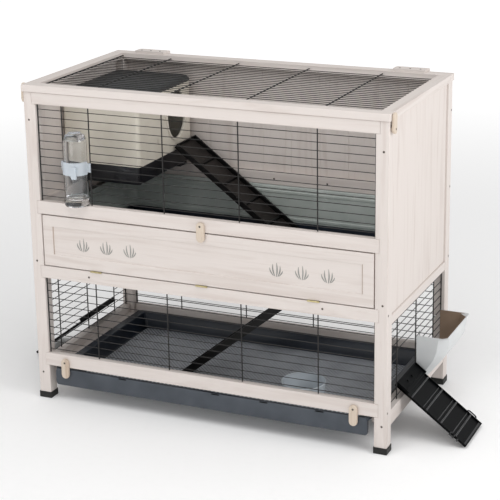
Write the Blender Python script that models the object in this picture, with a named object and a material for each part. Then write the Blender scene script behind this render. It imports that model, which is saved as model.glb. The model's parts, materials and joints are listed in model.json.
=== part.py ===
"""A two-storey wooden rabbit cage with wire grilles, a hinged mesh roof, a drop-down front flap,
two plastic trays, a nest box, two ladders, two door ramps, a hay feeder, a bottle and a bowl.

Metres, +Z up, +X to the cage's right, -Y to its front. The origin is under the middle of the object,
on the floor it stands on.
"""

import math

import bmesh
import bpy
from mathutils import Matrix, Vector

# ---------------------------------------------------------------- driving dimensions
WIDTH = 1.170
DEPTH = 0.600
BODY_TOP = 0.997
ROOF_THICK = 0.022
POST = 0.039
RAIL_THICK = 0.022
RAIL_LAP = 0.012
GAP = 0.0003
TIP_REACH = 0.2225  # how far a door ramp's tip stands outside its grille
CLIP_REACH = 0.042  # the bottle clip stands this far in front of the posts
HINGE_REACH = 0.023  # the roof hinges stand this far behind the posts

# Edges of the posts' outer faces. The bottle clip and the roof hinges set the middle of the depth.
LEFT = -WIDTH / 2
RIGHT = WIDTH / 2
FRONT = -(DEPTH + HINGE_REACH - CLIP_REACH) / 2
REAR = FRONT + DEPTH
MIDDLE_Y = (FRONT + REAR) / 2

# Heights of the rails, bottom and top.
TOP_RAIL = (0.961, BODY_TOP)
MIDDLE_RAIL = (0.6155, 0.6565)
LOWER_RAIL = (0.4065, 0.4460)
BOTTOM_RAIL = (0.1135, 0.1555)
SIDE_MIDDLE_RAIL = (0.3920, 0.4195)
SIDE_BOTTOM_RAIL = (0.0785, 0.1255)
FRONT_RAILS = {
    "front_top_rail": TOP_RAIL,
    "front_middle_rail": MIDDLE_RAIL,
    "front_lower_rail": LOWER_RAIL,
    "front_bottom_rail": BOTTOM_RAIL,
}
CAP_HEIGHT = 0.020
CAP_WALL = 0.0014

# Wood panels and the ledges that carry the two trays.
PANEL_INSET = 0.006
PANEL_THICK = 0.006
SIDE_RAIL_THICK = 0.028
UPPER_LEDGE = (0.0770, 0.4470)  # inner edge from the outside, and top
LOWER_LEDGE = (0.0600, 0.1012)
BATTEN = (0.6135, 0.6540)

# Wire grilles.
WIRE = 0.003
HEAVY_WIRE = 0.004
WIRE_INSET = 0.0125
ROW_PITCH = 0.0243
COLUMN_PITCH = 0.2457
SIDE_PITCH = 0.178
UPPER_ROWS = [0.671 + 0.0248 * row for row in range(12)]
LOWER_ROWS = [0.167 + ROW_PITCH * row for row in range(10)]
SIDE_ROWS = [0.134 + ROW_PITCH * row for row in range(11)]
DOOR_SILL = SIDE_ROWS[2]
DOOR_HEAD = SIDE_ROWS[6]
ROOF_ROWS = 21

# Roof lid.
ROOF_OVERHANG = 0.004
ROOF_BOTTOM = BODY_TOP + 0.001
ROOF_TOP = ROOF_BOTTOM + ROOF_THICK
ROOF_HINGE_X = 0.4525
ROOF_HINGE_HALF = 0.0525
ROOF_HINGE_RADIUS = 0.007
ROOF_AXIS = (REAR + HINGE_REACH - ROOF_HINGE_RADIUS, ROOF_TOP)  # y, z

# Flap and turn-buttons.
FLAP_AXIS = (FRONT - 0.0030, 0.4475)
FLAP_BOTTOM = 0.4490
FLAP_TOP = 0.6130
FLAP_INSET_X = 0.0355
FLAP_INSET_BOTTOM = 0.038
FLAP_INSET_TOP = 0.036
BUTTON_WIDTH = 0.026
BUTTON_THICK = 0.010

# Trays.
TRAY_WALL = 0.003
LOWER_TRAY_BOTTOM = 0.050
LOWER_TRAY_RIM = 0.106
UPPER_TRAY_FLOOR = (0.4478, 0.4508)
UPPER_TRAY_RIM = 0.492
HATCH = ((0.655, 0.895), (0.140, 0.285))  # x and y from the left and front faces

# Nest box, measured from the left and front faces.
NEST_X = (0.018, 0.288)
NEST_Y = (0.190, 0.558)
NEST_BASE = (0.678, 0.7365)
NEST_WALL_TOP = 0.946
NEST_ROOF_TOP = 0.966
NEST_CORNER = 0.014
ENTRANCE = (0.447, 0.854, 0.063, 0.078)  # y from the front, z, half width, half height

ROUND = 24

COLOURS = {
    "whitewashed_wood": ((0.73, 0.68, 0.63), 0.6, 0.0),
    "turned_wood": ((0.66, 0.56, 0.47), 0.6, 0.0),
    "black_wire": ((0.012, 0.012, 0.012), 0.45, 0.4),
    "dark_tray": ((0.055, 0.063, 0.072), 0.5, 0.0),
    "black_plastic": ((0.012, 0.013, 0.015), 0.45, 0.0),
    "nest_shell": ((0.56, 0.54, 0.49), 0.5, 0.0),
    "nest_roof": ((0.045, 0.048, 0.050), 0.5, 0.0),
    "wall_guard": ((0.40, 0.43, 0.40), 0.4, 0.0),
    "feeder_grey": ((0.52, 0.53, 0.54), 0.5, 0.0),
    "clear_plastic": ((0.75, 0.82, 0.86), 0.1, 0.0),
    "brass": ((0.60, 0.44, 0.20), 0.35, 1.0),
}


# ---------------------------------------------------------------- building blocks
def clear_scene():
    for item in list(bpy.data.objects):
        bpy.data.objects.remove(item, do_unlink=True)


def material(slot):
    found = bpy.data.materials.get(slot)
    if found:
        return found
    colour, roughness, metallic = COLOURS[slot]
    made = bpy.data.materials.new(slot)
    made.use_nodes = True
    shader = made.node_tree.nodes["Principled BSDF"]
    shader.inputs["Base Color"].default_value = (*colour, 1.0)
    shader.inputs["Roughness"].default_value = roughness
    shader.inputs["Metallic"].default_value = metallic
    return made


def finish(name, mesh_builder, slot, origin=(0.0, 0.0, 0.0), smooth=False):
    """An object from a bmesh in world places, with its origin where it is asked for."""
    bmesh.ops.recalc_face_normals(mesh_builder, faces=mesh_builder.faces)
    bmesh.ops.translate(mesh_builder, verts=mesh_builder.verts, vec=-Vector(origin))
    mesh = bpy.data.meshes.new(name)
    mesh_builder.to_mesh(mesh)
    mesh_builder.free()
    mesh.materials.append(material(slot))
    if smooth:
        mesh.shade_smooth()
        mesh.set_sharp_from_angle(angle=math.radians(35))
    made = bpy.data.objects.new(name, mesh)
    made.location = origin
    bpy.context.scene.collection.objects.link(made)
    return made


def as_tool(tool):
    """Marks an object as a cutter or a joined-in shape, which isn't a piece of the cage."""
    tool.hide_render = True
    tool.display_type = "WIRE"
    return tool


def combine(target, tool, operation):
    modifier = target.modifiers.new(tool.name, "BOOLEAN")
    modifier.operation = operation
    modifier.solver = "EXACT"
    modifier.object = as_tool(tool)
    return target


def box_lists(boxes, axis):
    return sorted({round(corner[axis], 7) for pair in boxes for corner in pair})


def blocks(name, boxes, slot, holes=(), origin=(0.0, 0.0, 0.0)):
    """One closed solid: every point that is in a box and in none of the holes."""
    boxes = [(tuple(low), tuple(high)) for low, high in boxes]
    holes = [(tuple(low), tuple(high)) for low, high in holes]
    lines = [box_lists(boxes + holes, axis) for axis in range(3)]

    def inside(shapes, point):
        return any(
            all(low[k] < point[k] < high[k] for k in range(3)) for low, high in shapes
        )

    filled = set()
    for i, j, k in (
        (i, j, k)
        for i in range(len(lines[0]) - 1)
        for j in range(len(lines[1]) - 1)
        for k in range(len(lines[2]) - 1)
    ):
        cell = (i, j, k)
        middle = [(lines[a][cell[a]] + lines[a][cell[a] + 1]) / 2 for a in range(3)]
        if inside(boxes, middle) and not inside(holes, middle):
            filled.add(cell)

    builder = bmesh.new()
    corners = {}

    def corner(index):
        if index not in corners:
            place = [lines[a][index[a]] for a in range(3)]
            corners[index] = builder.verts.new(place)
        return corners[index]

    for cell in sorted(filled):
        for axis in range(3):
            for side in (0, 1):
                neighbour = list(cell)
                neighbour[axis] += 1 if side else -1
                if tuple(neighbour) in filled:
                    continue
                first, second = [a for a in range(3) if a != axis]
                ring = []
                for a, b in ((0, 0), (1, 0), (1, 1), (0, 1)):
                    index = list(cell)
                    index[axis] += side
                    index[first] += a
                    index[second] += b
                    ring.append(corner(tuple(index)))
                builder.faces.new(ring)
    return finish(name, builder, slot, origin)


def block(name, low, high, slot, origin=None):
    middle = tuple((a + b) / 2 for a, b in zip(low, high))
    return blocks(name, [(low, high)], slot, origin=origin or middle)


def loft(name, loops, slot, ring=False, origin=(0.0, 0.0, 0.0), smooth=True):
    """A solid through closed outlines with equal point counts, capped at its ends or joined in a ring."""
    builder = bmesh.new()
    rows = [[builder.verts.new(point) for point in loop] for loop in loops]
    pairs = list(zip(rows, rows[1:]))
    if ring:
        pairs.append((rows[-1], rows[0]))
    else:
        builder.faces.new(list(reversed(rows[0])))
        builder.faces.new(rows[-1])
    for lower, upper in pairs:
        count = len(lower)
        for i in range(count):
            builder.faces.new((lower[i], lower[(i + 1) % count], upper[(i + 1) % count], upper[i]))
    return finish(name, builder, slot, origin, smooth)


def prism(name, outline, axis, low, high, slot, origin=(0.0, 0.0, 0.0), smooth=False):
    """An outline in the plane across an axis ("x", "y" or "z"), extruded along it."""
    place = {
        "x": lambda a, b, along: (along, a, b),
        "y": lambda a, b, along: (a, along, b),
        "z": lambda a, b, along: (a, b, along),
    }[axis]
    loops = [[place(a, b, along) for a, b in outline] for along in (low, high)]
    return loft(name, loops, slot, origin=origin, smooth=smooth)


def circle(centre_a, centre_b, radius, count=ROUND):
    turn = 2 * math.pi / count
    return [
        (centre_a + radius * math.cos(turn * i), centre_b + radius * math.sin(turn * i))
        for i in range(count)
    ]


def rounded_rectangle(low, high, radius, steps=4):
    """Points round a rectangle with quarter-circle corners, anticlockwise."""
    points = []
    centres = (
        (high[0] - radius, high[1] - radius, 0),
        (low[0] + radius, high[1] - radius, 90),
        (low[0] + radius, low[1] + radius, 180),
        (high[0] - radius, low[1] + radius, 270),
    )
    for a, b, start in centres:
        for step in range(steps + 1):
            angle = math.radians(start + 90 * step / steps)
            points.append((a + radius * math.cos(angle), b + radius * math.sin(angle)))
    return points


def stadium(centre, low, high, width, steps=6):
    """A strip with round ends: its middle line is at centre, from low to high across its length."""
    radius = width / 2
    points = []
    for middle, start in ((high - radius, 0), (low + radius, 180)):
        for step in range(steps + 1):
            angle = math.radians(start + 180 * step / steps)
            points.append((centre + radius * math.cos(angle), middle + radius * math.sin(angle)))
    return points


def pivot(name, location):
    """An empty on a joint's axis, for the pieces that turn or slide about it."""
    made = bpy.data.objects.new(name, None)
    made.location = location
    bpy.context.scene.collection.objects.link(made)
    return made


def hang(parent, pieces):
    for piece in pieces:
        piece.parent = parent
        piece.matrix_parent_inverse = Matrix.Translation(-Vector(parent.location))


def both_sides():
    """Name, and the function that turns a distance in from that side's outer face into x."""
    return (
        ("left", lambda inward: LEFT + inward),
        ("right", lambda inward: RIGHT - inward),
    )


def across(place, first, second):
    """Two distances in from a side, as a low and a high x."""
    return tuple(sorted((place(first), place(second))))


# ---------------------------------------------------------------- wooden frame
def make_posts():
    for side, x_at in both_sides():
        x_low, x_high = across(x_at, 0, POST)
        notch_x = across(x_at, POST - RAIL_LAP - GAP, POST + 0.01)
        for end, y_low in (("front", FRONT), ("rear", REAR - POST)):
            notches = []
            if end == "front":
                for low, high in FRONT_RAILS.values():
                    top = high + GAP if high < BODY_TOP else high + 0.01
                    notches.append(
                        (
                            (notch_x[0], FRONT - 0.01, low - GAP),
                            (notch_x[1], FRONT + RAIL_THICK + GAP, top),
                        )
                    )
            foot = (x_low, y_low, CAP_WALL + GAP)
            head = (x_high, y_low + POST, BODY_TOP)
            blocks(f"{end}_{side}_post", [(foot, head)], "whitewashed_wood", notches)
            make_foot_cap(f"{end}_{side}_foot_cap", x_low, y_low)


def make_foot_cap(name, x_low, y_low):
    reach = CAP_WALL + GAP
    outer = ((x_low - reach, y_low - reach, 0.0), (x_low + POST + reach, y_low + POST + reach, CAP_HEIGHT))
    pocket = (
        (x_low - GAP, y_low - GAP, CAP_WALL),
        (x_low + POST + GAP, y_low + POST + GAP, CAP_HEIGHT + 0.01),
    )
    blocks(name, [outer], "black_plastic", [pocket])


def make_front_rails():
    inset = POST - RAIL_LAP
    for name, (low, high) in FRONT_RAILS.items():
        block(
            name,
            (LEFT + inset, FRONT, low),
            (RIGHT - inset, FRONT + RAIL_THICK, high),
            "whitewashed_wood",
        )


def ledge_rail(name, outer, ledge_inner, ledge_top, heights, along, direction, from_face):
    """A rail between two posts with a ledge on its inner side that carries a tray's edge."""
    low, high = heights
    boxes = []
    for first, second, bottom, top in (
        (0.001, outer, low, high),
        (PANEL_INSET + PANEL_THICK + 0.0005, ledge_inner, low, ledge_top),
    ):
        span = tuple(sorted((from_face(first), from_face(second))))
        if direction == "x":
            boxes.append(((span[0], along[0], bottom), (span[1], along[1], top)))
        else:
            boxes.append(((along[0], span[0], bottom), (along[1], span[1], top)))
    blocks(name, boxes, "whitewashed_wood")


def make_side_and_rear_rails():
    between_y = (FRONT + POST + GAP, REAR - POST - GAP)
    between_x = (LEFT + POST + GAP, RIGHT - POST - GAP)
    upper_inner, upper_top = UPPER_LEDGE
    lower_inner, lower_top = LOWER_LEDGE
    for side, x_at in both_sides():
        for name, inner, top, heights in (
            ("middle", upper_inner, upper_top, SIDE_MIDDLE_RAIL),
            ("bottom", lower_inner, lower_top, SIDE_BOTTOM_RAIL),
        ):
            ledge_rail(f"{side}_{name}_rail", SIDE_RAIL_THICK, inner, top, heights, between_y, "x", x_at)
    block(
        "rear_middle_rail",
        (between_x[0], REAR - 0.028, SIDE_MIDDLE_RAIL[0]),
        (between_x[1], REAR - 0.001, SIDE_MIDDLE_RAIL[1]),
        "whitewashed_wood",
    )
    block(
        "rear_bottom_rail",
        (between_x[0], REAR - 0.023, SIDE_BOTTOM_RAIL[0]),
        (between_x[1], REAR - 0.001, SIDE_BOTTOM_RAIL[1]),
        "whitewashed_wood",
    )


def make_panels():
    bottom = SIDE_MIDDLE_RAIL[1] + GAP
    top = BODY_TOP - GAP
    for side, x_at in both_sides():
        x_low, x_high = across(x_at, PANEL_INSET, PANEL_INSET + PANEL_THICK)
        block(
            f"{side}_wall_panel",
            (x_low, FRONT + POST + GAP, bottom),
            (x_high, REAR - POST - GAP, top),
            "whitewashed_wood",
        )
    block(
        "rear_wall_panel",
        (LEFT + POST + GAP, REAR - PANEL_INSET - PANEL_THICK, bottom),
        (RIGHT - POST - GAP, REAR - PANEL_INSET, top),
        "whitewashed_wood",
    )


def make_battens():
    """The left and rear walls' battens, over the plastic guard's top edge."""
    low, high = BATTEN
    inner = PANEL_INSET + PANEL_THICK + GAP
    thick = 0.018
    block(
        "left_batten",
        (LEFT + inner, FRONT + POST + GAP, low),
        (LEFT + inner + thick, REAR - POST - GAP, high),
        "whitewashed_wood",
    )
    block(
        "rear_batten",
        (LEFT + POST + GAP, REAR - inner - thick, low),
        (RIGHT - POST - GAP, REAR - inner, high),
        "whitewashed_wood",
    )


# ---------------------------------------------------------------- wire grilles
def grille(name, plane, at, u_span, v_span, columns, rows, gaps=()):
    """A welded grille. plane is "y", "x" or "z", the axis across it, and at is its place on that axis.

    columns and rows are the middles of its wires; gaps are (u_low, u_high, v_low, v_high) windows.
    """
    def solid(u_low, u_high, v_low, v_high, thick):
        def corner(u, v, across):
            return {"y": (u, across, v), "x": (across, u, v), "z": (u, v, across)}[plane]

        return corner(u_low, v_low, at - thick), corner(u_high, v_high, at + thick)

    half = WIRE / 2
    heavy = HEAVY_WIRE / 2
    bars = [solid(u - heavy, u + heavy, v_span[0], v_span[1], half) for u in columns]
    bars += [solid(u_span[0], u_span[1], v - half, v + half, half) for v in rows]
    holes = [solid(*gap, 2 * half) for gap in gaps]
    return blocks(name, bars, "black_wire", holes)


def make_grilles():
    columns = [COLUMN_PITCH * step for step in (-1.5, -0.5, 0.5, 1.5)]
    u_span = (LEFT + POST + GAP, RIGHT - POST - GAP)
    edge = HEAVY_WIRE / 2
    edged = [u_span[0] + edge, *columns, u_span[1] - edge]
    bottle_left = LEFT + 0.124
    window = (
        bottle_left + edge,
        columns[0] - edge,
        UPPER_ROWS[0] - WIRE,
        UPPER_ROWS[8] + WIRE,
    )
    front_y = FRONT + 0.011
    grille(
        "front_upper_grille", "y", front_y, u_span,
        (MIDDLE_RAIL[1] + GAP, TOP_RAIL[0] - GAP),
        [edged[0], bottle_left, *edged[1:]], UPPER_ROWS, [window],
    )
    grille(
        "front_lower_grille", "y", front_y, u_span,
        (BOTTOM_RAIL[1] + GAP, LOWER_RAIL[0] - GAP), edged, LOWER_ROWS,
    )
    side_v = (SIDE_BOTTOM_RAIL[1] + GAP, SIDE_MIDDLE_RAIL[0] - GAP)
    grille("rear_lower_grille", "y", REAR - WIRE_INSET, u_span, side_v, edged, SIDE_ROWS)
    y_span = (FRONT + POST + GAP, REAR - POST - GAP)
    side_columns = [MIDDLE_Y + SIDE_PITCH * step for step in (-1, 0, 1)]
    for side, x_at in both_sides():
        first = 0 if side == "right" else 1
        door = (
            side_columns[first] + edge,
            side_columns[first + 1] - edge,
            DOOR_SILL + WIRE,
            DOOR_HEAD - WIRE,
        )
        ends = [y_span[0] + edge, *side_columns, y_span[1] - edge]
        grille(f"{side}_grille", "x", x_at(WIRE_INSET), y_span, side_v, ends, SIDE_ROWS, [door])


# ---------------------------------------------------------------- roof lid
def make_roof():
    left = LEFT - ROOF_OVERHANG
    right = RIGHT + ROOF_OVERHANG
    front = FRONT - ROOF_OVERHANG
    rear = REAR + ROOF_OVERHANG
    hinge = pivot("roof_hinge_axis", (0.0, *ROOF_AXIS))
    pieces = [
        block(name, (left, low, ROOF_BOTTOM), (right, low + POST, ROOF_TOP), "whitewashed_wood")
        for name, low in (("roof_front_rail", front), ("roof_rear_rail", rear - POST))
    ]
    side_y = (front + POST + GAP, rear - POST - GAP)
    for side, x_low in (("left", left), ("right", right - POST)):
        pieces.append(
            block(
                f"roof_{side}_rail",
                (x_low, side_y[0], ROOF_BOTTOM),
                (x_low + POST, side_y[1], ROOF_TOP),
                "whitewashed_wood",
            )
        )
    columns = [COLUMN_PITCH * step for step in (-1.5, -0.5, 0.5, 1.5)]
    rows = [MIDDLE_Y + ROW_PITCH * (row - (ROOF_ROWS - 1) / 2) for row in range(ROOF_ROWS)]
    u_span = (left + POST + GAP, right - POST - GAP)
    middle = (ROOF_BOTTOM + ROOF_TOP) / 2
    edge = HEAVY_WIRE / 2
    edged = [u_span[0] + edge, *columns, u_span[1] - edge]
    pieces.append(grille("roof_grille", "z", middle, u_span, side_y, edged, rows))
    for side, sign in (("left", -1), ("right", 1)):
        leaf = make_roof_hinge(side, sign * ROOF_HINGE_X)
        pieces.append(leaf)
    hang(hinge, pieces)


def make_roof_hinge(side, x):
    """The fixed half stays behind the rear wall. The leaf on the roof, which it returns, turns with it."""
    axis_y, axis_z = ROOF_AXIS
    low_x = x - ROOF_HINGE_HALF
    high_x = x + ROOF_HINGE_HALF
    third = (high_x - low_x) / 3
    knuckle = (low_x + third + GAP, high_x - third - GAP)
    panel = REAR - PANEL_INSET + GAP
    edge = REAR + ROOF_OVERHANG
    shelf = BODY_TOP - 0.012
    outer = axis_y + 0.004
    fixed = blocks(
        f"roof_hinge_{side}_base",
        [
            ((low_x, panel, 0.930), (high_x, REAR + 0.0015, BODY_TOP - GAP)),
            ((knuckle[0], panel, shelf), (knuckle[1], outer, BODY_TOP - GAP)),
            ((knuckle[0], edge + 0.0015, shelf), (knuckle[1], outer, axis_z)),
        ],
        "whitewashed_wood",
    )
    barrel = circle(axis_y, axis_z, ROOF_HINGE_RADIUS, 16)
    combine(fixed, prism(f"{side}_base_barrel", barrel, "x", *knuckle, "whitewashed_wood"), "UNION")

    leaf = blocks(
        f"roof_hinge_{side}_leaf",
        [
            ((low_x, edge - 0.034, ROOF_TOP + GAP), (high_x, edge, ROOF_TOP + 0.0085)),
            ((low_x, edge - 0.001, ROOF_TOP + GAP), (low_x + third, axis_y, ROOF_TOP + 0.0055)),
            ((high_x - third, edge - 0.001, ROOF_TOP + GAP), (high_x, axis_y, ROOF_TOP + 0.0055)),
        ],
        "whitewashed_wood",
    )
    for end, (first, last) in (
        ("near", (low_x - 0.0002, low_x + third - GAP)),
        ("far", (high_x - third + GAP, high_x + 0.0002)),
    ):
        tube = prism(f"{side}_{end}_leaf_barrel", barrel, "x", first, last, "whitewashed_wood")
        combine(leaf, tube, "UNION")
    return leaf


def make_roof_latches():
    """A wooden tongue on each front post's side that stands beside the roof's edge."""
    y = FRONT + POST / 2
    axis_z = 0.974
    plate_in = ROOF_OVERHANG + 0.0007
    plate_out = plate_in + 0.0085
    outline = stadium(y, 0.960, 1.021, 0.024)
    for side, sign in (("left", -1), ("right", 1)):
        face = sign * WIDTH / 2
        spans = [
            tuple(sorted((face + sign * plate_in, face + sign * plate_out))),
            tuple(sorted((face + sign * GAP, face + sign * (plate_in + 0.002)))),
        ]
        origin = (face, y, axis_z)
        latch = prism(f"roof_latch_{side}", outline, "x", *spans[0], "turned_wood", origin)
        boss = prism(f"roof_latch_{side}_boss", circle(y, axis_z, 0.008, 12), "x", *spans[1], "turned_wood")
        combine(latch, boss, "UNION")


# ---------------------------------------------------------------- flap and turn-buttons
def make_flap():
    low = (LEFT + POST + 0.002, FRONT + 0.001, FLAP_BOTTOM)
    high = (RIGHT - POST - 0.002, FRONT + 0.0175, FLAP_TOP)
    field = (
        (low[0] + FLAP_INSET_X, FRONT - 0.01, FLAP_BOTTOM + FLAP_INSET_BOTTOM),
        (high[0] - FLAP_INSET_X, FRONT + 0.004, FLAP_TOP - FLAP_INSET_TOP),
    )
    flap = blocks("front_flap", [(low, high)], "whitewashed_wood", [field])
    hang(pivot("flap_hinge_axis", (0.0, *FLAP_AXIS)), [flap])
    for name, x in (("left", -0.359), ("middle", 0.0), ("right", 0.359)):
        make_flap_hinge(f"flap_hinge_{name}", x)


def make_flap_hinge(name, x):
    """A barrel in front of the gap, with its fixed leaf on top of the rail below."""
    half = 0.019
    top = LOWER_RAIL[1]
    leaf_low = (x - half + 0.001, FRONT - 0.001, top + GAP)
    leaf_high = (x + half - 0.001, FRONT + 0.018, top + 0.0015)
    leaf = block(name, leaf_low, leaf_high, "brass")
    axis_y, axis_z = FLAP_AXIS
    barrel = prism(f"{name}_barrel", circle(axis_y, axis_z, 0.0026, 12), "x", x - half, x + half, "brass")
    combine(leaf, barrel, "UNION")


def turn_button(name, x, axis_z, low, high):
    """A flat wooden button on a screw, which turns in front of a rail's face."""
    face = FRONT - 0.0005
    outline = stadium(x, low, high, BUTTON_WIDTH)
    prism(name, outline, "y", face - BUTTON_THICK, face, "turned_wood", origin=(x, FRONT, axis_z))


def make_turn_buttons():
    turn_button("flap_turn_button", 0.003, 0.6360, 0.5860, 0.6480)
    for side, sign in (("left", -1), ("right", 1)):
        turn_button(f"tray_turn_button_{side}", sign * 0.484, 0.1320, 0.0790, 0.1450)


# ---------------------------------------------------------------- trays, guard and bowl
def make_lower_tray():
    """A drafted tray with round corners whose rim rides on the ledges of the side rails."""
    rim_low = (LEFT + 0.055, FRONT + 0.0010)
    rim_high = (RIGHT - 0.055, REAR - 0.0265)
    rim_bottom = LOWER_TRAY_RIM - 0.004

    def outline(inset, corner, z):
        low = (rim_low[0] + inset, rim_low[1] + inset * 0.35)
        high = (rim_high[0] - inset, rim_high[1] - inset * 0.6)
        return [(x, y, z) for x, y in rounded_rectangle(low, high, corner)]

    floor = LOWER_TRAY_BOTTOM + TRAY_WALL + 0.0005
    loops = [
        outline(0.031, 0.012, LOWER_TRAY_BOTTOM),
        outline(0.021, 0.012, rim_bottom),
        outline(0.000, 0.016, rim_bottom),
        outline(0.000, 0.016, LOWER_TRAY_RIM),
        outline(0.029, 0.010, LOWER_TRAY_RIM),
        outline(0.040, 0.008, floor),
    ]
    tray = loft("lower_tray", loops, "dark_tray", smooth=True)
    hang(pivot("lower_tray_start", (0.0, FRONT, LOWER_TRAY_BOTTOM)), [tray])


def make_upper_tray():
    """The upper storey's floor tray, with a hatch where the lower ladder comes up."""
    bottom, floor = UPPER_TRAY_FLOOR
    wall_x = 0.052
    wall_y = (0.027, 0.566)
    rim_x = 0.032
    rim_y = (0.0245, 0.5845)
    inner = TRAY_WALL
    boxes = [
        (
            (LEFT + wall_x, FRONT + wall_y[0], bottom),
            (RIGHT - wall_x, FRONT + wall_y[1], UPPER_TRAY_RIM),
        ),
        (
            (LEFT + rim_x, FRONT + rim_y[0], UPPER_TRAY_RIM - 0.003),
            (RIGHT - rim_x, FRONT + rim_y[1], UPPER_TRAY_RIM),
        ),
    ]
    (hatch_left, hatch_right), (hatch_front, hatch_rear) = HATCH
    corner = POST + 0.0015
    holes = [
        (
            (LEFT + wall_x + inner, FRONT + wall_y[0] + inner, floor),
            (RIGHT - wall_x - inner, FRONT + wall_y[1] - inner, UPPER_TRAY_RIM + 0.01),
        ),
        (
            (LEFT + hatch_left, FRONT + hatch_front, bottom - 0.01),
            (LEFT + hatch_right, FRONT + hatch_rear, floor + 0.01),
        ),
    ]
    for _, x_at in both_sides():
        x_low, x_high = across(x_at, 0, corner)
        holes.append(((x_low, REAR - corner, bottom), (x_high, REAR, UPPER_TRAY_RIM + 0.01)))
        holes.append(((x_low, FRONT, bottom), (x_high, FRONT + corner, UPPER_TRAY_RIM + 0.01)))
    blocks("upper_tray", boxes, "dark_tray", holes)


def make_wall_guard():
    """A thin plastic sheet bent round the left, rear and right walls, standing on the upper tray's rim."""
    side = 0.0445
    rear = REAR - 0.0300
    front = FRONT + POST + 0.004
    thick = 0.003

    def path(inward, radius, steps=5):
        left = LEFT + side + inward
        right = RIGHT - side - inward
        back = rear - inward
        points = [(left, front)]
        for centre_x, start in ((left + radius, 180), (right - radius, 90)):
            for step in range(steps + 1):
                angle = math.radians(start - 90 * step / steps)
                x = centre_x + radius * math.cos(angle)
                points.append((x, back - radius + radius * math.sin(angle)))
        points.append((right, front))
        return points

    outline = path(0, 0.030) + list(reversed(path(thick, 0.027)))
    prism("wall_guard", outline, "z", UPPER_TRAY_RIM + GAP, 0.6130, "wall_guard", smooth=True)


def turned(name, centre, profile, slot, origin, count=ROUND):
    """A round solid from (radius, z) pairs, from its underside up its outside and down its inside."""
    loops = [[(x, y, z) for x, y in circle(*centre, radius, count)] for radius, z in profile]
    return loft(name, loops, slot, origin=origin, smooth=True)


def make_food_bowl():
    centre = (LEFT + 0.834, FRONT + 0.190)
    bottom = LOWER_TRAY_BOTTOM + TRAY_WALL + 0.0005 + GAP
    profile = [
        (0.060, bottom),
        (0.064, bottom + 0.004),
        (0.0695, bottom + 0.054),
        (0.0665, bottom + 0.055),
        (0.0605, bottom + 0.007),
        (0.056, bottom + 0.004),
    ]
    turned("food_bowl", centre, profile, "clear_plastic", (*centre, bottom))


# ---------------------------------------------------------------- ladders and door ramps
def ramp(name, length, width, depth, rungs, rung_height, slot, start=0.003, high_walls=None, low_wall=0.0):
    """A channel along local +X, open upwards, with rungs across its floor. Its hinge line is local Y.

    Beyond high_walls from the hinge, its side walls are only low_wall high.
    """
    wall = 0.0035
    floor = 0.003
    half = width / 2
    high_walls = high_walls or length
    boxes = [
        ((start, -half, -depth), (length, half, -depth + floor)),
        ((start, -half, -depth), (start + wall, half, -0.001)),
    ]
    for first, last, top in ((start, high_walls, 0.0), (start, length, low_wall - depth)):
        boxes.append(((first, -half, -depth), (last, -half + wall, top)))
        boxes.append(((first, half - wall, -depth), (last, half, top)))
    pitch = (length - start) / (rungs + 1)
    for rung in range(1, rungs + 1):
        x = start + pitch * rung
        boxes.append(((x - 0.004, -half, -depth), (x + 0.004, half, -depth + rung_height)))
    return blocks(name, boxes, slot)


def place_ramp(piece, hinge, slope, leftward):
    """Hangs a ramp from its hinge line, going down to the right, or to the left."""
    piece.location = hinge
    piece.rotation_euler = (0.0, math.radians(slope), math.pi if leftward else 0.0)


def make_ladders():
    upper_slope = 37.2
    upper = ramp("upper_ladder", 0.5036, 0.134, 0.018, 8, 0.008, "black_plastic", start=0.0125)
    place_ramp(upper, (LEFT + 0.2930, FRONT + 0.488, 0.7700), upper_slope, leftward=False)

    lower_slope = 38.85
    lower = ramp("lower_ladder", 0.6130, 0.125, 0.024, 10, 0.009, "black_plastic")
    place_ramp(lower, (LEFT + 0.8820, FRONT + 0.2125, 0.4580), lower_slope, leftward=True)


def make_door_ramps():
    """Each door ramp hangs outside its grille from the wire at the door's sill, with its tip on the floor."""
    drop = DOOR_SILL - 0.0165
    slope = math.degrees(math.atan2(drop, TIP_REACH))
    length = math.hypot(drop, TIP_REACH)
    for side, sign in (("left", -1), ("right", 1)):
        y = MIDDLE_Y - sign * SIDE_PITCH / 2
        boards = ramp(
            f"{side}_door_ramp", length, SIDE_PITCH - 0.007, 0.016, 4, 0.006, "black_plastic",
            start=0.0035, high_walls=0.050, low_wall=0.0075,
        )
        hinge = (sign * (WIDTH / 2 - WIRE_INSET), y, DOOR_SILL)
        place_ramp(boards, hinge, slope, leftward=side == "left")


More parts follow.
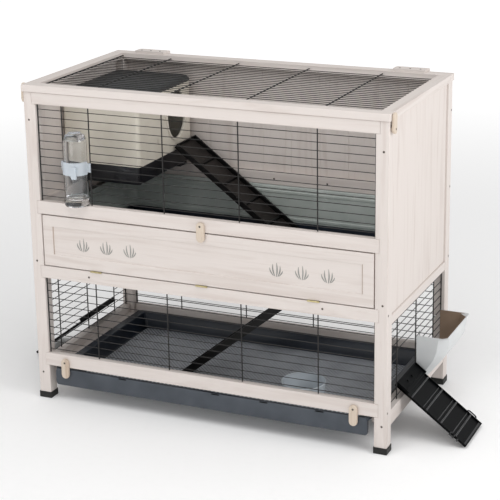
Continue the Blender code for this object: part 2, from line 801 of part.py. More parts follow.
# ---------------------------------------------------------------- nest box
def make_nest_box():
    x_low, x_high = (LEFT + value for value in NEST_X)
    y_low, y_high = (FRONT + value for value in NEST_Y)
    base_low, base_high = NEST_BASE
    wall = 0.003

    def outline(inset, z, corner=NEST_CORNER):
        low = (x_low + inset, y_low + inset)
        high = (x_high - inset, y_high - inset)
        return [(x, y, z) for x, y in rounded_rectangle(low, high, max(corner - inset, 0.002))]

    wall_low = base_high + GAP
    walls = loft(
        "nest_box_walls",
        [
            outline(0, wall_low),
            outline(0, NEST_WALL_TOP),
            outline(wall, NEST_WALL_TOP),
            outline(wall, wall_low),
        ],
        "nest_shell",
        ring=True,
    )
    door_y, door_z, half_width, half_height = ENTRANCE
    oval = [
        (FRONT + door_y + half_width * a, door_z + half_height * b) for a, b in circle(0, 0, 1, 20)
    ]
    entrance = prism("nest_entrance", oval, "x", x_high - 0.03, x_high + 0.03, "nest_shell")
    combine(walls, entrance, "DIFFERENCE")

    base = loft(
        "nest_box_base",
        [
            outline(0.006, base_low),
            outline(0, base_low + 0.006),
            outline(0, base_high),
            outline(wall, base_high),
            outline(wall + 0.002, base_high - 0.012),
        ],
        "black_plastic",
    )
    rest = BATTEN[1] + GAP
    grip = base_low + 0.004
    feet = {
        "side_foot": ((x_low + 0.002, y_low + 0.03, rest), (LEFT + 0.029, y_high - 0.03, grip)),
        "rear_foot": ((x_low + 0.06, y_high - 0.03, rest), (x_high - 0.03, y_high + 0.018, grip)),
    }
    for name, (low, high) in feet.items():
        combine(base, block(name, low, high, "black_plastic"), "UNION")

    roof_low = NEST_WALL_TOP + GAP
    loft(
        "nest_box_roof",
        [
            outline(-0.002, roof_low, 0.016),
            outline(-0.002, roof_low + 0.006, 0.016),
            outline(0.003, NEST_ROOF_TOP - 0.004, 0.020),
            outline(0.012, NEST_ROOF_TOP, 0.030),
        ],
        "nest_roof",
    )


# ---------------------------------------------------------------- things hung on the wires
def make_hay_feeder():
    """A hopper outside the right grille, folded at its outer corners, open at its top and to the wires."""
    back = RIGHT - WIRE_INSET + WIRE / 2 + 0.0015
    top = 0.2625
    wall = 0.0025

    def section(z, reach, y_low, y_high, corner, shrink=0.0, overshoot=0.0):
        x_high = back + reach - shrink
        low = FRONT + y_low + shrink
        high = FRONT + y_high - shrink
        cut = corner - shrink * 0.6
        near = [(x_high - cut, low, z), (x_high, low + cut, z)]
        far = [(x_high, high - cut, z), (x_high - cut, high, z)]
        return [(back - overshoot, low, z), *near, *far, (back - overshoot, high, z)]

    outer = [
        section(0.128, 0.030, 0.310, 0.539, 0.014),
        section(0.145, 0.044, 0.304, 0.545, 0.018),
        section(0.188, 0.078, 0.302, 0.547, 0.024),
        section(0.214, 0.091, 0.301, 0.548, 0.027),
        section(top - 0.005, 0.0965, 0.301, 0.548, 0.027),
        section(top, 0.097, 0.301, 0.548, 0.005),
    ]
    inner = [
        section(0.1315, 0.030, 0.310, 0.539, 0.014, wall, 0.01),
        section(0.145, 0.0415, 0.304, 0.545, 0.018, wall, 0.01),
        section(0.188, 0.077, 0.302, 0.547, 0.024, wall, 0.01),
        section(0.214, 0.0905, 0.301, 0.548, 0.027, wall, 0.01),
        section(top - 0.004, 0.0965, 0.301, 0.548, 0.027, wall, 0.01),
        section(top + 0.001, 0.097, 0.301, 0.548, 0.005, wall, 0.01),
        section(top + 0.02, 0.097, 0.301, 0.548, 0.005, wall, 0.01),
    ]
    feeder = loft("hay_feeder", outer, "feeder_grey", smooth=False)
    combine(feeder, loft("feeder_inside", inner, "feeder_grey", smooth=False), "DIFFERENCE")


def make_water_bottle():
    """A bottle on a dished base that stands on the middle rail, in a window of the grille."""
    centre = (LEFT + 0.170, FRONT + 0.003)
    bottom = MIDDLE_RAIL[1] + GAP
    axis = pivot("bottle_axis", (*centre, bottom))
    profile = [
        (0.0350, bottom),
        (0.0385, bottom + 0.004),
        (0.0385, bottom + 0.018),
        (0.0362, bottom + 0.021),
        (0.0362, bottom + 0.200),
        (0.0320, bottom + 0.212),
        (0.0240, bottom + 0.216),
        (0.0240, bottom + 0.226),
        (0.0190, bottom + 0.228),
    ]
    bottle = turned("water_bottle", centre, profile, "clear_plastic", (*centre, bottom))
    hang(axis, [bottle, make_bottle_clip(centre)])


def make_bottle_clip(centre):
    """A band round the bottle's front, with an ear in front of the wire on either side."""
    x, y = centre
    low, high = 0.757, 0.797
    band = []
    for radius, angles in ((0.0405, range(180, 361, 12)), (0.0368, range(360, 179, -12))):
        for angle in angles:
            turn = math.radians(angle)
            band.append((x + radius * math.cos(turn), y + radius * math.sin(turn)))
    clip = prism("bottle_clip", band, "z", low, high, "clear_plastic", smooth=True)
    for sign in (-1, 1):
        span = tuple(sorted((x + sign * 0.0375, x + sign * 0.0500)))
        ear_low = (span[0], y - 0.001, low + 0.006)
        ear_high = (span[1], y + 0.004, high - 0.006)
        ear = block(f"clip_ear_{sign}", ear_low, ear_high, "clear_plastic")
        combine(clip, ear, "UNION")
    lever_low = (x + 0.008, y - CLIP_REACH - 0.003, low - 0.008)
    lever_high = (x + 0.024, y - 0.0374, high - 0.010)
    combine(clip, block("clip_lever", lever_low, lever_high, "clear_plastic"), "UNION")
    return clip


def main():
    clear_scene()
    make_posts()
    make_front_rails()
    make_side_and_rear_rails()
    make_panels()
    make_battens()
    make_grilles()
    make_roof()
    make_roof_latches()
    make_flap()
    make_turn_buttons()
    make_lower_tray()
    make_upper_tray()
    make_wall_guard()
    make_food_bowl()
    make_ladders()
    make_door_ramps()
    make_nest_box()
    make_hay_feeder()
    make_water_bottle()


main()
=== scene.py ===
"""The look of the two-storey rabbit cage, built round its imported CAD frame."""

import json
import math

import bmesh
import bpy
from mathutils import Matrix, Vector

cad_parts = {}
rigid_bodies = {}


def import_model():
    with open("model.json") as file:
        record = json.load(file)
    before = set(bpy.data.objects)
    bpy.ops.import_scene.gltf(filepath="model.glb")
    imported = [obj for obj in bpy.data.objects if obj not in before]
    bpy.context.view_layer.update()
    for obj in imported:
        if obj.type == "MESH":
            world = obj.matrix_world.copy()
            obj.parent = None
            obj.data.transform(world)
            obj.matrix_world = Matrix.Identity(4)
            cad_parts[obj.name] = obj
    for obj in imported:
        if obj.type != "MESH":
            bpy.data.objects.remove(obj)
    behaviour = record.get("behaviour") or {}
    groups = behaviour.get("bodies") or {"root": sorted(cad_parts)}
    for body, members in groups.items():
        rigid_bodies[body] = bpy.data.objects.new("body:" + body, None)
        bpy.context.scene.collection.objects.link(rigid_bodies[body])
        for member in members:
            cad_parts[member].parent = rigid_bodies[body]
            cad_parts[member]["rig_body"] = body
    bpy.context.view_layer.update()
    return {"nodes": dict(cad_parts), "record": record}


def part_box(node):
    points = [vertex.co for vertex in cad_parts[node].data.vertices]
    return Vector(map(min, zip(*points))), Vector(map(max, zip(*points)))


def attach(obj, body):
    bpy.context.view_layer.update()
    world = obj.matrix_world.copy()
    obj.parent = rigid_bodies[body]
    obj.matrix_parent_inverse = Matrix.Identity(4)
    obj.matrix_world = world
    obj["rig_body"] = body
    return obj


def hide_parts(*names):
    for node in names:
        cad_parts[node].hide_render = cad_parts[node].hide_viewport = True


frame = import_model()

NODES = frame["nodes"]
SLOTS = {entry["node"]: entry["material_slot"] for entry in frame["record"]["subparts"]}

# Edges of the posts' outer faces, and the posts' thickness.
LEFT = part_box("front_left_post")[0].x
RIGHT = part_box("front_right_post")[1].x
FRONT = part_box("front_left_post")[0].y
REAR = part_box("rear_left_post")[1].y
MIDDLE_Y = (FRONT + REAR) / 2
POST = 0.039

# Where the grilles' wires run, and their radii. Uprights are columns and long wires are rows.
WIRE_INSET = 0.0125  # the side grilles stand this far inside the posts' outer faces
COLUMN_PITCH = 0.2457
SIDE_PITCH = 0.178
ROW_PITCH = 0.0243
UPPER_ROW_PITCH = 0.0248
COLUMNS = [COLUMN_PITCH * step for step in (-1.5, -0.5, 0.5, 1.5)]
SIDE_COLUMNS = [MIDDLE_Y + SIDE_PITCH * step for step in (-1, 0, 1)]
UPPER_ROWS = [0.671 + UPPER_ROW_PITCH * row for row in range(12)]
LOWER_ROWS = [0.167 + ROW_PITCH * row for row in range(10)]
SIDE_ROWS = [0.134 + ROW_PITCH * row for row in range(11)]
ROOF_ROWS = [MIDDLE_Y + ROW_PITCH * step for step in range(-10, 11)]
COLUMN_RADIUS = 0.0020
ROW_RADIUS = 0.0013
BOTTLE_BAY = LEFT + 0.124  # left edge of the bay that the bottle stands in
BOTTLE_BAY_ROWS = (0, 8)  # first and last row that the bay cuts
DOOR_ROWS = (2, 6)  # rows that run along a doorway's sill and head

# The flap: its frame's width, and where the face of its recessed field lies.
FLAP_FRAME = 0.0355
FLAP_FIELD = FRONT + 0.0040

# Heights of the screws that the flap's button, the tray's buttons and the roof's latches turn on.
FLAP_BUTTON_AXIS = 0.636
TRAY_BUTTON_AXIS = 0.132
ROOF_LATCH_AXIS = 0.974

# The nest box: its walls, and the middle and half sizes (y, z) of its oval entrance.
NEST_WALL = 0.003
NEST_CORNER = 0.014
ENTRANCE = (FRONT + 0.447, 0.854)
ENTRANCE_HALF = (0.063, 0.078)

# The wave texture repeats about this often in a metre at a scale of 1.
WAVES_PER_METRE = 3.14


# ---- materials
def srgb(red, green, blue):
    """A colour given from 0 to 255, as Blender's linear values."""
    def linear(value):
        value /= 255
        return value / 12.92 if value <= 0.04045 else ((value + 0.055) / 1.055) ** 2.4

    return (linear(red), linear(green), linear(blue), 1.0)


class Shader:
    """A material's node tree, with short calls for the nodes used here."""

    def __init__(self, name, **settings):
        self.material = bpy.data.materials.new(name)
        self.material.use_nodes = True
        self.tree = self.material.node_tree
        self.surface = self.tree.nodes["Principled BSDF"]
        self.place = self.tree.nodes.new("ShaderNodeTexCoord").outputs["Object"]
        for socket, value in settings.items():
            self.surface.inputs[socket.replace("_", " ")].default_value = value

    def node(self, kind, inputs=(), **settings):
        made = self.tree.nodes.new(kind)
        for key, value in settings.items():
            setattr(made, key, value)
        for socket, value in dict(inputs).items():
            if isinstance(value, bpy.types.NodeSocket):
                self.tree.links.new(value, made.inputs[socket])
            else:
                made.inputs[socket].default_value = value
        return made

    def link(self, socket, name):
        self.tree.links.new(socket, self.surface.inputs[name])

    def stretched(self, scale, turn=(0, 0, 0)):
        inputs = {"Vector": self.place, "Scale": scale, "Rotation": turn}
        return self.node("ShaderNodeMapping", inputs).outputs["Vector"]

    def noise(self, vector, scale, detail=4.0, distortion=0.0):
        inputs = {"Vector": vector, "Scale": scale, "Detail": detail, "Distortion": distortion}
        return self.node("ShaderNodeTexNoise", inputs).outputs["Fac"]

    def ramp(self, value, *stops):
        made = self.node("ShaderNodeValToRGB", {"Fac": value})
        elements = made.color_ramp.elements
        while len(elements) < len(stops):
            elements.new(0.5)
        for element, (position, colour) in zip(elements, stops):
            element.position = position
            element.color = colour
        return made.outputs["Color"]

    def product(self, first, second):
        return self.node("ShaderNodeMath", {0: first, 1: second}, operation="MULTIPLY").outputs["Value"]

    def blend(self, amount, first, second, mode="MIX"):
        made = self.node("ShaderNodeMix", data_type="RGBA", blend_type=mode)
        for index, value in ((0, amount), (6, first), (7, second)):
            if isinstance(value, bpy.types.NodeSocket):
                self.tree.links.new(value, made.inputs[index])
            else:
                made.inputs[index].default_value = value
        return made.outputs[2]

    def bump(self, height, strength, distance, under=None):
        inputs = {"Height": height, "Strength": strength, "Distance": distance}
        if under is not None:
            inputs["Normal"] = under
        return self.node("ShaderNodeBump", inputs).outputs["Normal"]

    def range(self, value, low, high):
        inputs = {"Value": value, "To Min": low, "To Max": high}
        return self.node("ShaderNodeMapRange", inputs).outputs["Result"]


def grey(level):
    return (level, level, level, 1.0)


def wood(name, grain, light, dark, streak, offset=0.0):
    """Washed wood with growth bands, fine fibres and short pores that run along the grain axis."""
    shader = Shader(name, Specular_IOR_Level=0.35)

    def directed(long_scale, cross_scale):
        scale = [cross_scale] * 3
        scale["xyz".index(grain)] = long_scale
        return shader.stretched(scale, (offset, offset * 0.7, offset * 0.4))

    bands = shader.noise(directed(1.1, 17.0), 1.6, 5.0, 1.4)
    fibres = shader.noise(directed(9.0, 420.0), 1.0, 3.0)
    pores = shader.noise(directed(26.0, 900.0), 1.0, 2.0)
    cloud = shader.noise(shader.place, 3.1, 2.0)
    base = shader.ramp(bands, (0.30, dark), (0.47, light), (0.60, light), (0.74, dark))
    base = shader.blend(shader.range(fibres, 0.0, 0.16), base, streak)
    holes = shader.ramp(pores, (0.0, grey(1)), (0.27, grey(1)), (0.33, grey(0)), (1.0, grey(0)))
    base = shader.blend(shader.product(holes, 0.32), base, streak)
    base = shader.blend(shader.range(cloud, 0.0, 0.10), base, dark, "MULTIPLY")
    shader.link(base, "Base Color")
    shader.link(shader.range(fibres, 0.50, 0.72), "Roughness")
    normal = shader.bump(fibres, 0.22, 0.0006)
    shader.link(shader.bump(bands, 0.10, 0.0010, normal), "Normal")
    return shader.material


def plastic(name, light, dark, roughness, texture=900.0, depth=0.12, coat=0.0, shine=0.5):
    """Moulded plastic: a fine spark-eroded texture, faint flow marks and handling scuffs."""
    shader = Shader(name, Specular_IOR_Level=shine, Coat_Weight=coat, Coat_Roughness=0.25)
    mottle = shader.noise(shader.place, 14.0, 3.0)
    skin = shader.noise(shader.place, texture, 2.0)
    scuffs = shader.noise(shader.stretched((40.0, 9.0, 22.0)), 3.0, 5.0, 0.8)
    shader.link(shader.ramp(mottle, (0.3, dark), (0.7, light)), "Base Color")
    shader.link(shader.range(scuffs, roughness - 0.07, roughness + 0.09), "Roughness")
    shader.link(shader.bump(skin, depth, 0.0004), "Normal")
    return shader.material


def hatched(name, light, dark, pitch, turn, roughness=0.5, shine=0.5):
    """Plastic with two crossing sets of fine moulded ribs, their crests coloured towards the light tone as a
    painted highlight.
    """
    shader = Shader(name, Specular_IOR_Level=shine)
    ribs = []
    for sign in (1, -1):
        turned = shader.stretched((1, 1, 1), (0, 0, sign * turn))
        inputs = {"Vector": turned, "Scale": 1 / pitch / WAVES_PER_METRE}
        ribs.append(shader.node("ShaderNodeTexWave", inputs, bands_direction="X").outputs["Fac"])
    crossing = shader.product(*ribs)
    mottle = shader.noise(shader.place, 11.0, 4.0)
    middle = tuple(0.7 * low + 0.3 * high for low, high in zip(dark, light))
    base = shader.ramp(mottle, (0.3, dark), (0.7, middle))
    # The rib crests take the light tone: a painted highlight following the bump.
    shader.link(shader.blend(shader.range(crossing, 0.0, 1.0), base, light), "Base Color")
    shader.link(shader.range(mottle, roughness - 0.06, roughness + 0.08), "Roughness")
    shader.link(shader.bump(crossing, 0.6, 0.0009), "Normal")
    return shader.material


def metal(name, colour, dark, roughness, metallic=1.0):
    """Drawn or rolled metal, mottled and finely brushed."""
    shader = Shader(name, Metallic=metallic)
    brushed = shader.noise(shader.stretched((30.0, 260.0, 260.0)), 4.0, 3.0)
    mottle = shader.noise(shader.place, 60.0, 4.0)
    shader.link(shader.ramp(mottle, (0.25, dark), (0.6, colour)), "Base Color")
    shader.link(shader.range(brushed, roughness - 0.08, roughness + 0.12), "Roughness")
    shader.link(shader.bump(brushed, 0.10, 0.0003), "Normal")
    return shader.material


def clear(name, tint, roughness, clarity=1.0):
    """Clear plastic with a faint haze; a lower clarity makes it milky."""
    shader = Shader(name, Base_Color=tint, Transmission_Weight=clarity, IOR=1.42)
    haze = shader.noise(shader.place, 35.0, 3.0)
    shader.link(shader.range(haze, roughness, roughness + 0.05), "Roughness")
    shader.link(shader.bump(shader.noise(shader.place, 90.0, 2.0), 0.03, 0.0004), "Normal")
    return shader.material


def wood_set(name, light, dark, streak):
    """The same wood with its grain along each axis."""
    return {axis: wood(f"{name}_{axis}", axis, light, dark, streak, 0.02) for axis in "xyz"}


WHITEWASHED = wood_set("whitewashed", srgb(220, 212, 207), srgb(210, 200, 194), srgb(188, 175, 167))
TURNED = wood_set("turned", srgb(214, 200, 184), srgb(196, 178, 160), srgb(152, 130, 112))
# A darker wood whose colour is painted shade, used for the flap's recess edges and for the gap round the
# flap.
WOOD_PAINTED_SHADE = wood("wood_painted_shade", "x", srgb(176, 158, 146), srgb(160, 142, 130), srgb(128, 108, 96))
BLACK_WIRE = metal("black_wire", srgb(38, 36, 35), srgb(24, 23, 23), 0.42, 0.3)
STEEL = metal("screw_steel", srgb(120, 112, 104), srgb(82, 76, 70), 0.45)
BRASS = metal("hinge_brass", srgb(206, 194, 150), srgb(164, 150, 106), 0.38)
# Near-black for the screws' cross: painted shade standing for the recess.
RECESS_SHADE = plastic("screw_recess_painted_shade", srgb(36, 32, 30), srgb(24, 22, 21), 0.7)
TRAY_SKIN = plastic("tray_skin", srgb(68, 74, 82), srgb(54, 60, 68), 0.50, 700.0, 0.10)
TRAY_INSIDE = plastic("tray_inside", srgb(32, 40, 52), srgb(22, 28, 38), 0.34, 700.0, 0.08, shine=0.34)
# The hatched floors' light tone is a painted highlight on their rib crests.
TRAY_FLOOR = hatched("tray_floor", srgb(226, 230, 236), srgb(88, 93, 101), 0.0100, 0.785, 0.45)
BLACK_PLASTIC = plastic("black_plastic", srgb(5, 6, 8), srgb(3, 4, 5), 0.36, 800.0, 0.08, shine=0.08)
LADDER_PLASTIC = plastic("ladder_plastic", srgb(14, 13, 13), srgb(9, 8, 8), 0.40, 800.0, 0.10, shine=0.2)
LADDER_FLOOR = hatched("ladder_floor", srgb(58, 53, 50), srgb(28, 25, 24), 0.0050, 0.6, 0.5, shine=0.2)
RUNG_GLOSS = plastic("rung_gloss", srgb(24, 26, 29), srgb(15, 17, 19), 0.20, 800.0, 0.03, shine=0.6)
CAP_RUBBER = plastic("cap_plastic", srgb(38, 38, 36), srgb(28, 28, 27), 0.55, 600.0, 0.15, shine=0.3)
NEST_SHELL = plastic("nest_shell", srgb(216, 210, 197), srgb(206, 199, 186), 0.46, 800.0, 0.08)
NEST_ROOF = plastic("nest_roof", srgb(62, 64, 65), srgb(49, 52, 53), 0.44, 800.0, 0.10, shine=0.4)
NEST_BASE = plastic("nest_base", srgb(16, 16, 22), srgb(9, 9, 14), 0.30, 800.0, 0.06, shine=0.35)
GUARD = plastic("guard", srgb(186, 193, 188), srgb(174, 182, 177), 0.24, 500.0, 0.03, 0.3)
FEEDER = plastic("feeder", srgb(218, 220, 220), srgb(208, 210, 211), 0.42, 800.0, 0.08)
# Darker brown for the feeder's inner faces: painted shade with a brown cast of reflected light.
FEEDER_INSIDE_SHADE = plastic("feeder_inside", srgb(164, 142, 122), srgb(146, 124, 104), 0.55, 500.0, 0.10)
MOTIF = plastic("motif_paint", srgb(152, 152, 147), srgb(128, 129, 125), 0.60, 500.0, 0.15)
CLEAR = clear("clear_plastic", (0.985, 0.992, 1.0, 1.0), 0.0)
CLIP_PLASTIC = clear("clip_plastic", (0.84, 0.90, 0.96, 1.0), 0.16, 0.55)
BOWL_PLASTIC = clear("bowl_plastic", (0.80, 0.86, 0.91, 1.0), 0.03, 0.42)
# Opaque near-white for the bowl's rim band: a painted highlight.
BOWL_RIM_HIGHLIGHT = plastic("bowl_rim_painted_highlight", srgb(232, 238, 242), srgb(216, 223, 228), 0.14, 500.0, 0.02)
CAP_BLUE = clear("bottle_cap", (0.84, 0.88, 0.93, 1.0), 0.10)


# ---- building blocks
def new_object(name, builder, materials, smooth=True, angle=35):
    """The builder's mesh as an object of the scene, shaded smooth up to the angle in degrees."""
    bmesh.ops.recalc_face_normals(builder, faces=builder.faces)
    mesh = bpy.data.meshes.new(name)
    builder.to_mesh(mesh)
    builder.free()
    for material in materials:
        mesh.materials.append(material)
    if smooth:
        mesh.shade_smooth()
        mesh.set_sharp_from_angle(angle=math.radians(angle))
    made = bpy.data.objects.new(name, mesh)
    bpy.context.scene.collection.objects.link(made)
    return made


def circle(centre, side, other, radius, count):
    """Points round a circle that lies in the plane of the two directions."""
    turns = [2 * math.pi * i / count for i in range(count)]
    return [centre + (side * math.cos(turn) + other * math.sin(turn)) * radius for turn in turns]


def soften_edges(piece, width, segments=2):
    bevel = piece.modifiers.new("edges", "BEVEL")
    bevel.width = width
    bevel.segments = segments
    bevel.limit_method = "ANGLE"
    bevel.angle_limit = math.radians(38)
    bevel.harden_normals = False


def join_body(piece, node):
    """The piece rides with the node's body and is shown in its place."""
    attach(piece, NODES[node]["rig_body"])
    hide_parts(node)
    return piece


def softened(node, material, width, segments=2):
    """The node's own shape with its edges eased."""
    builder = bmesh.new()
    builder.from_mesh(NODES[node].data)
    bmesh.ops.remove_doubles(builder, verts=builder.verts, dist=1e-6)
    flat = math.radians(0.5)
    bmesh.ops.dissolve_limit(builder, angle_limit=flat, verts=builder.verts, edges=builder.edges)
    piece = new_object(f"{node}_shown", builder, [material])
    soften_edges(piece, width, segments)
    return join_body(piece, node)


def loft_into(builder, loops, ring=False):
    """A skin over loops of equally many points, capped at both ends, or joined end to start as a ring."""
    rows = [[builder.verts.new(point) for point in loop] for loop in loops]
    pairs = list(zip(rows, rows[1:]))
    if ring:
        pairs.append((rows[-1], rows[0]))
    for lower, upper in pairs:
        count = len(lower)
        for i in range(count):
            j = (i + 1) % count
            builder.faces.new((lower[i], lower[j], upper[j], upper[i]))
    if not ring:
        builder.faces.new(list(reversed(rows[0])))
        builder.faces.new(rows[-1])
    return rows


def add_box(builder, low, high):
    low, high = Vector(low), Vector(high)
    middle, size = (low + high) / 2, high - low
    for vertex in bmesh.ops.create_cube(builder, size=1.0)["verts"]:
        vertex.co = middle + vertex.co * size


def add_rod(builder, start, end, radius, sides=8, ends=0.35):
    """A round bar with eased ends."""
    start, end = Vector(start), Vector(end)
    along = (end - start).normalized()
    side = along.orthogonal().normalized()
    other = along.cross(side)
    ease = radius * ends
    stations = (
        (start, radius - ease),
        (start + along * ease, radius),
        (end - along * ease, radius),
        (end, radius - ease),
    )
    loft_into(builder, [circle(centre, side, other, reach, sides) for centre, reach in stations])


def lathe(name, foot, profile, materials, count=48):
    """A turned shape from pairs of radius and height over its foot, which may start and end on the axis."""
    least = 0.0004
    side, other, up = Vector((1, 0, 0)), Vector((0, 1, 0)), Vector((0, 0, 1))
    builder = bmesh.new()
    loft_into(
        builder,
        [circle(foot + up * height, side, other, max(radius, least), count) for radius, height in profile],
    )
    return new_object(name, builder, materials)


def foot_of(node):
    """The middle of the node's underside."""
    low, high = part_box(node)
    return Vector(((low.x + high.x) / 2, (low.y + high.y) / 2, low.z))


def rounded_rectangle(low, high, radius, steps=8):
    """Points round a rectangle whose corners are quarter circles."""
    points = []
    centres = (
        (high[0] - radius, high[1] - radius, 0),
        (low[0] + radius, high[1] - radius, 90),
        (low[0] + radius, low[1] + radius, 180),
        (high[0] - radius, low[1] + radius, 270),
    )
    for a, b, start in centres:
        for step in range(steps + 1):
            angle = math.radians(start + 90 * step / steps)
            points.append((a + radius * math.cos(angle), b + radius * math.sin(angle)))
    return points


def stadium(centre, low, high, width, steps=12):
    """Points round an upright slot shape, given by its middle, its two ends and its width."""
    radius = width / 2
    points = []
    for middle, start in ((high - radius, 0), (low + radius, 180)):
        for step in range(steps + 1):
            angle = math.radians(start + 180 * step / steps)
            points.append((centre + radius * math.cos(angle), middle + radius * math.sin(angle)))
    return points


# ---- wooden pieces
def grain_axis(node):
    """The wall panels' grain runs upright, and that of other pieces along their length."""
    if node.endswith("_panel"):
        return "z"
    low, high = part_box(node)
    size = high - low
    return "xyz"[max(range(3), key=lambda k: size[k])]


def show_wood():
    """Every wooden piece but the flap and the rear wall, which have functions of their own."""
    for node in NODES:
        if node in ("rear_wall_panel", "front_flap"):
            continue
        if SLOTS[node] == "whitewashed_wood":
            softened(node, WHITEWASHED[grain_axis(node)], 0.0014)
        elif SLOTS[node] == "turned_wood":
            softened(node, TURNED["z"], 0.0024, 3)


def show_flap():
    """The flap, its sides and top planed back a little so that the gap round it reads."""
    side_gap, top_gap = 0.0016, 0.0014
    low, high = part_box("front_flap")
    piece = softened("front_flap", WHITEWASHED["x"], 0.0016, 3)
    for vertex in piece.data.vertices:
        vertex.co.x = max(low.x + side_gap, min(high.x - side_gap, vertex.co.x))
        vertex.co.z = min(high.z - top_gap, vertex.co.z)


def show_rear_boards():
    """Tongue-and-groove boards with a V groove at every joint, on both faces."""
    low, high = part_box("rear_wall_panel")
    boards = 11
    pitch = (high.x - low.x) / boards
    half, depth = 0.0016, 0.0016
    inner, outer = [], []
    for joint in range(1, boards):
        x = low.x + pitch * joint
        inner += [(x - half, low.y), (x, low.y + depth), (x + half, low.y)]
        outer += [(x - half, high.y), (x, high.y - depth), (x + half, high.y)]
    outline = [(low.x, low.y), *inner, (high.x, low.y), (high.x, high.y), *reversed(outer), (low.x, high.y)]
    builder = bmesh.new()
    loft_into(builder, [[(x, y, z) for x, y in outline] for z in (low.z, high.z)])
    piece = new_object("rear_wall_boards", builder, [WHITEWASHED["z"]], angle=20)
    join_body(piece, "rear_wall_panel")


# ---- screws
def add_screw(builder, centre, normal, radius=0.0034, sides=14):
    """A countersunk head that stands a little proud, with a dark cross in it: painted shade standing for the
    cross recess.
    """
    normal = Vector(normal).normalized()
    side = normal.orthogonal().normalized()
    other = normal.cross(side)
    centre = Vector(centre)
    dome = ((1.0, -0.0012), (1.0, 0.0002), (0.72, 0.0006), (0.30, 0.0007))
    loft_into(
        builder,
        [circle(centre + normal * height, side, other, radius * share, sides) for share, height in dome],
    )
    first_cross = len(builder.faces)
    bar_length, bar_width = radius * 0.62, radius * 0.13
    for long_way, short_way in ((side, other), (other, side)):
        corners = [
            centre + long_way * a * bar_length + short_way * b * bar_width
            for a, b in ((-1, -1), (1, -1), (1, 1), (-1, 1))
        ]
        loft_into(builder, [[corner + normal * height for corner in corners] for height in (0.0003, 0.0009)])
    builder.faces.ensure_lookup_table()
    for face in builder.faces[first_cross:]:
        face.material_index = 1


def show_screws(name, body, places):
    """One piece that holds a screw at each (centre, normal) place."""
    builder = bmesh.new()
    for centre, normal in places:
        add_screw(builder, centre, normal)
    piece = new_object(name, builder, [STEEL, RECESS_SHADE])
    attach(piece, body)


def frame_screws():
    """Screws in the posts' front, rear and outer faces, in the lower front rail and in the rear batten."""
    forward, back = (0, -1, 0), (0, 1, 0)
    side_rows = (
        (FRONT + 0.0062, (0.129, 0.430)),
        (REAR - 0.0080, (0.129, 0.430, 0.660, 0.905)),
    )
    places = []
    for sign in (-1, 1):
        outward, face = (sign, 0, 0), sign * RIGHT
        post_x = face - sign * 0.0155
        for z in (0.087, 0.460, 0.911):
            places.append(((post_x, FRONT, z), forward))
            places.append(((post_x, REAR, z), back))
        for y, heights in side_rows:
            places += [((face, y, z), outward) for z in heights]
        places.append(((sign * 0.386, FRONT, 0.427), forward))
    batten_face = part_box("rear_batten")[0].y
    places += [((x, batten_face, 0.633), forward) for x in (-0.42, -0.006, 0.181, 0.44)]
    show_screws("frame_screws", "cage", places)


# ---- wire grilles
def show_lattice(node, plane, outward, columns, rows, gap=None):
    """A node's grille in round wire, its columns outside its rows and welded to them where they cross.

    The plane is the axis that the grille faces. A gap (first row, last row, low, high) is a stretch
    where the rows are left out.
    """
    edge_inset, column_depth, row_depth = 0.0022, 0.0008, -0.0012
    low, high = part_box(node)
    facing = "xyz".index(plane)
    along, up = [axis for axis in range(3) if axis != facing]

    def point(u, v, depth):
        place = Vector((0, 0, 0))
        place[along] = u
        place[up] = v
        place[facing] = (low[facing] + high[facing]) / 2 + outward * depth
        return place

    builder = bmesh.new()
    for u in (low[along] + edge_inset, *columns, high[along] - edge_inset):
        add_rod(builder, point(u, low[up], column_depth), point(u, high[up], column_depth), COLUMN_RADIUS)
    for index, v in enumerate(rows):
        stretches = [(low[along], high[along])]
        if gap and gap[0] <= index <= gap[1]:
            stretches = [(low[along], gap[2]), (gap[3], high[along])]
        for start, end in stretches:
            add_rod(builder, point(start, v, row_depth), point(end, v, row_depth), ROW_RADIUS, 6)
    join_body(new_object(f"{node}_wires", builder, [BLACK_WIRE]), node)


def show_grilles():
    bay = (*BOTTLE_BAY_ROWS, BOTTLE_BAY, COLUMNS[0])
    show_lattice("front_upper_grille", "y", -1, [BOTTLE_BAY, *COLUMNS], UPPER_ROWS, bay)
    show_lattice("front_lower_grille", "y", -1, COLUMNS, LOWER_ROWS)
    show_lattice("rear_lower_grille", "y", 1, COLUMNS, SIDE_ROWS)
    sill, head = DOOR_ROWS
    for node, outward, first in (("left_grille", -1, 1), ("right_grille", 1, 0)):
        door = (sill + 1, head - 1, SIDE_COLUMNS[first], SIDE_COLUMNS[first + 1])
        show_lattice(node, "x", outward, SIDE_COLUMNS, SIDE_ROWS, door)
    show_lattice("roof_grille", "z", 1, COLUMNS, ROOF_ROWS)


# ---- flap, buttons, hinges
def add_leaf(builder, root, tip, bend, width, face_y, thick):
    """A tapering curved blade, in the plane of the flap."""
    steps = 7
    left, right = [], []
    for step in range(steps + 1):
        t = step / steps
        x = root[0] + (tip[0] - root[0]) * t + bend * math.sin(math.pi * t)
        z = root[1] + (tip[1] - root[1]) * t
        half = width * math.sin(math.pi * (0.12 + 0.86 * t)) / 2 + 0.0002
        left.append((x - half, z))
        right.append((x + half, z))
    outline = left + list(reversed(right))
    loft_into(builder, [[(x, y, z) for x, z in outline] for y in (face_y + 0.0006, face_y - thick)])


def show_flap_motifs():
    """Six plain tufts of five blades, on the flap's recessed field."""
    foot = 0.506
    blades = (  # reach to the side, height and bend
        (-0.021, 0.026, -0.003),
        (-0.011, 0.038, -0.003),
        (0.001, 0.043, 0.002),
        (0.012, 0.034, 0.003),
        (0.020, 0.020, 0.002),
    )
    builder = bmesh.new()
    for centre in (-0.241, -0.322, -0.403, 0.241, 0.322, 0.403):
        for reach, height, bend in blades:
            root = (centre + reach * 0.42, foot + abs(reach) * 0.12)
            add_leaf(builder, root, (centre + reach, foot + height), bend, 0.0034, FLAP_FIELD, 0.0007)
    piece = new_object("flap_motifs", builder, [MOTIF])
    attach(piece, "flap")


